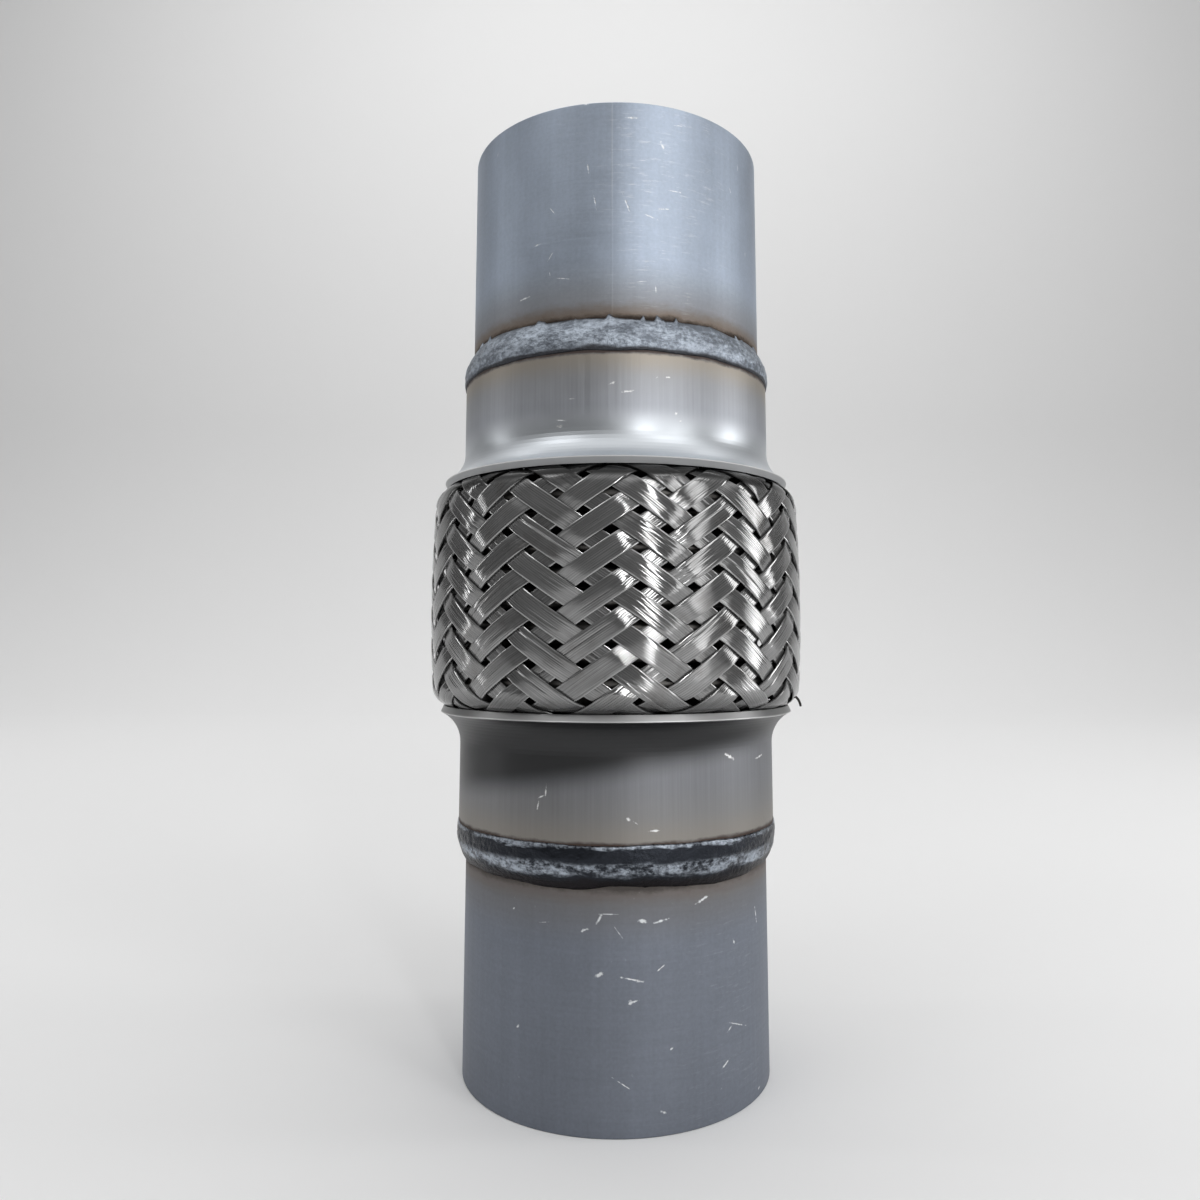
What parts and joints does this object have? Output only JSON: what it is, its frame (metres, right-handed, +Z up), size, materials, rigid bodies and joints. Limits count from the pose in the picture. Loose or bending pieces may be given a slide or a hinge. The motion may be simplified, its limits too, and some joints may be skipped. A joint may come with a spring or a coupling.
{
  "type": "exhaust flex pipe",
  "caption": "Straight exhaust flex pipe: a braided bellows section between flared collars, with plain extension tubes welded into both ends to join two exhaust pipes.",
  "frame": {"origin": "centre of the lower tube's free end, on which the pipe stands", "axes": "+Z up the pipe's axis, -Y towards the viewer of the picture"},
  "size_m": [0.0838, 0.0838, 0.203],
  "materials": {
    "lower_tube_steel": "satin, blue-grey mill finish",
    "upper_tube_steel": "satin, blue-grey mill finish",
    "collar_stainless": "pressed stainless, brushed along the pipe",
    "braid_wire": "bright drawn wire",
    "inner_stainless": "bright thin sheet",
    "dark_weld": "rough, oxidised blue-black",
    "grey_weld": "rough, light grey"
  },
  "bodies": {
    "lower_end": {"lower_extension_tube": "lower_tube_steel", "lower_weld_bead": "dark_weld", "lower_collar": "collar_stainless", "interlock_liner": "inner_stainless", "bellows": "inner_stainless", "outer_braid": "braid_wire"},
    "upper_end": {"upper_collar": "collar_stainless", "upper_weld_bead": "grey_weld", "upper_extension_tube": "upper_tube_steel"}
  },
  "joints": [
    {"name": "flex_bend", "type": "hinge", "parent": "lower_end", "child": "upper_end", "pos_m": [0, 0, 0.1015], "axis": [0, 1, 0], "range_deg": [-8, 8], "stiffness_Nm_per_rad": 30, "deforming": ["outer_braid", "bellows", "interlock_liner"]}
  ]
}
